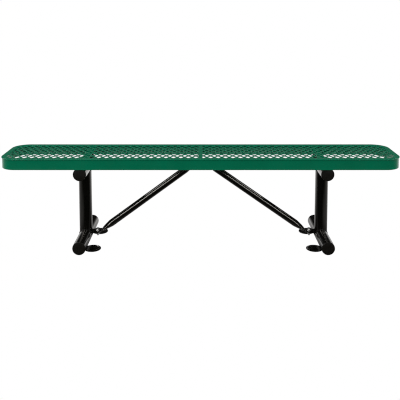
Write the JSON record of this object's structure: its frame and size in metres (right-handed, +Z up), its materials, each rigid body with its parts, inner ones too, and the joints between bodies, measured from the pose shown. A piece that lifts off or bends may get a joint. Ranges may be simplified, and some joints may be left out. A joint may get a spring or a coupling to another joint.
{
  "type": "backless bench",
  "caption": "Backless street bench with a coated expanded-metal seat on two inverted-T tube legs with anchor discs and diagonal braces.",
  "frame": {"origin": "on the ground, under the middle of the seat", "axes": "+X along the seat, +Y across the seat to the back, +Z up"},
  "size_m": [1.8288, 0.3748, 0.4318],
  "materials": {
    "seat_coating": "glossy green thermoplastic coating",
    "leg_powder_coat": "semi-gloss black powder coat",
    "cap_plastic": "black moulded polyethylene",
    "zinc_hardware": "zinc plated"
  },
  "bodies": {
    "root": {"seat_rim": "seat_coating", "seat_mesh": "seat_coating", "center_seat_bar": "seat_coating", "left_seat_angle": "seat_coating", "right_seat_angle": "seat_coating", "left_top_tube": "leg_powder_coat", "right_top_tube": "leg_powder_coat", "left_leg_post": "leg_powder_coat", "right_leg_post": "leg_powder_coat", "left_foot_tube": "leg_powder_coat", "right_foot_tube": "leg_powder_coat", "left_front_seat_tab": "leg_powder_coat", "left_back_seat_tab": "leg_powder_coat", "right_front_seat_tab": "leg_powder_coat", "right_back_seat_tab": "leg_powder_coat", "left_front_top_cap": "cap_plastic", "left_back_top_cap": "cap_plastic", "right_front_top_cap": "cap_plastic", "right_back_top_cap": "cap_plastic", "left_front_foot_cap": "cap_plastic", "left_back_foot_cap": "cap_plastic", "right_front_foot_cap": "cap_plastic", "right_back_foot_cap": "cap_plastic", "left_front_foot_disc": "leg_powder_coat", "left_back_foot_disc": "leg_powder_coat", "right_front_foot_disc": "leg_powder_coat", "right_back_foot_disc": "leg_powder_coat", "left_brace_tab": "leg_powder_coat", "right_brace_tab": "leg_powder_coat", "left_diagonal_brace": "leg_powder_coat", "right_diagonal_brace": "leg_powder_coat", "seat_bolts": "zinc_hardware", "seat_washers": "zinc_hardware", "seat_nuts": "zinc_hardware", "brace_foot_bolts": "zinc_hardware", "brace_foot_washers": "zinc_hardware", "brace_foot_nuts": "zinc_hardware", "brace_top_bolt": "zinc_hardware", "brace_top_washer": "zinc_hardware", "brace_top_insert": "zinc_hardware"}
  },
  "joints": []
}
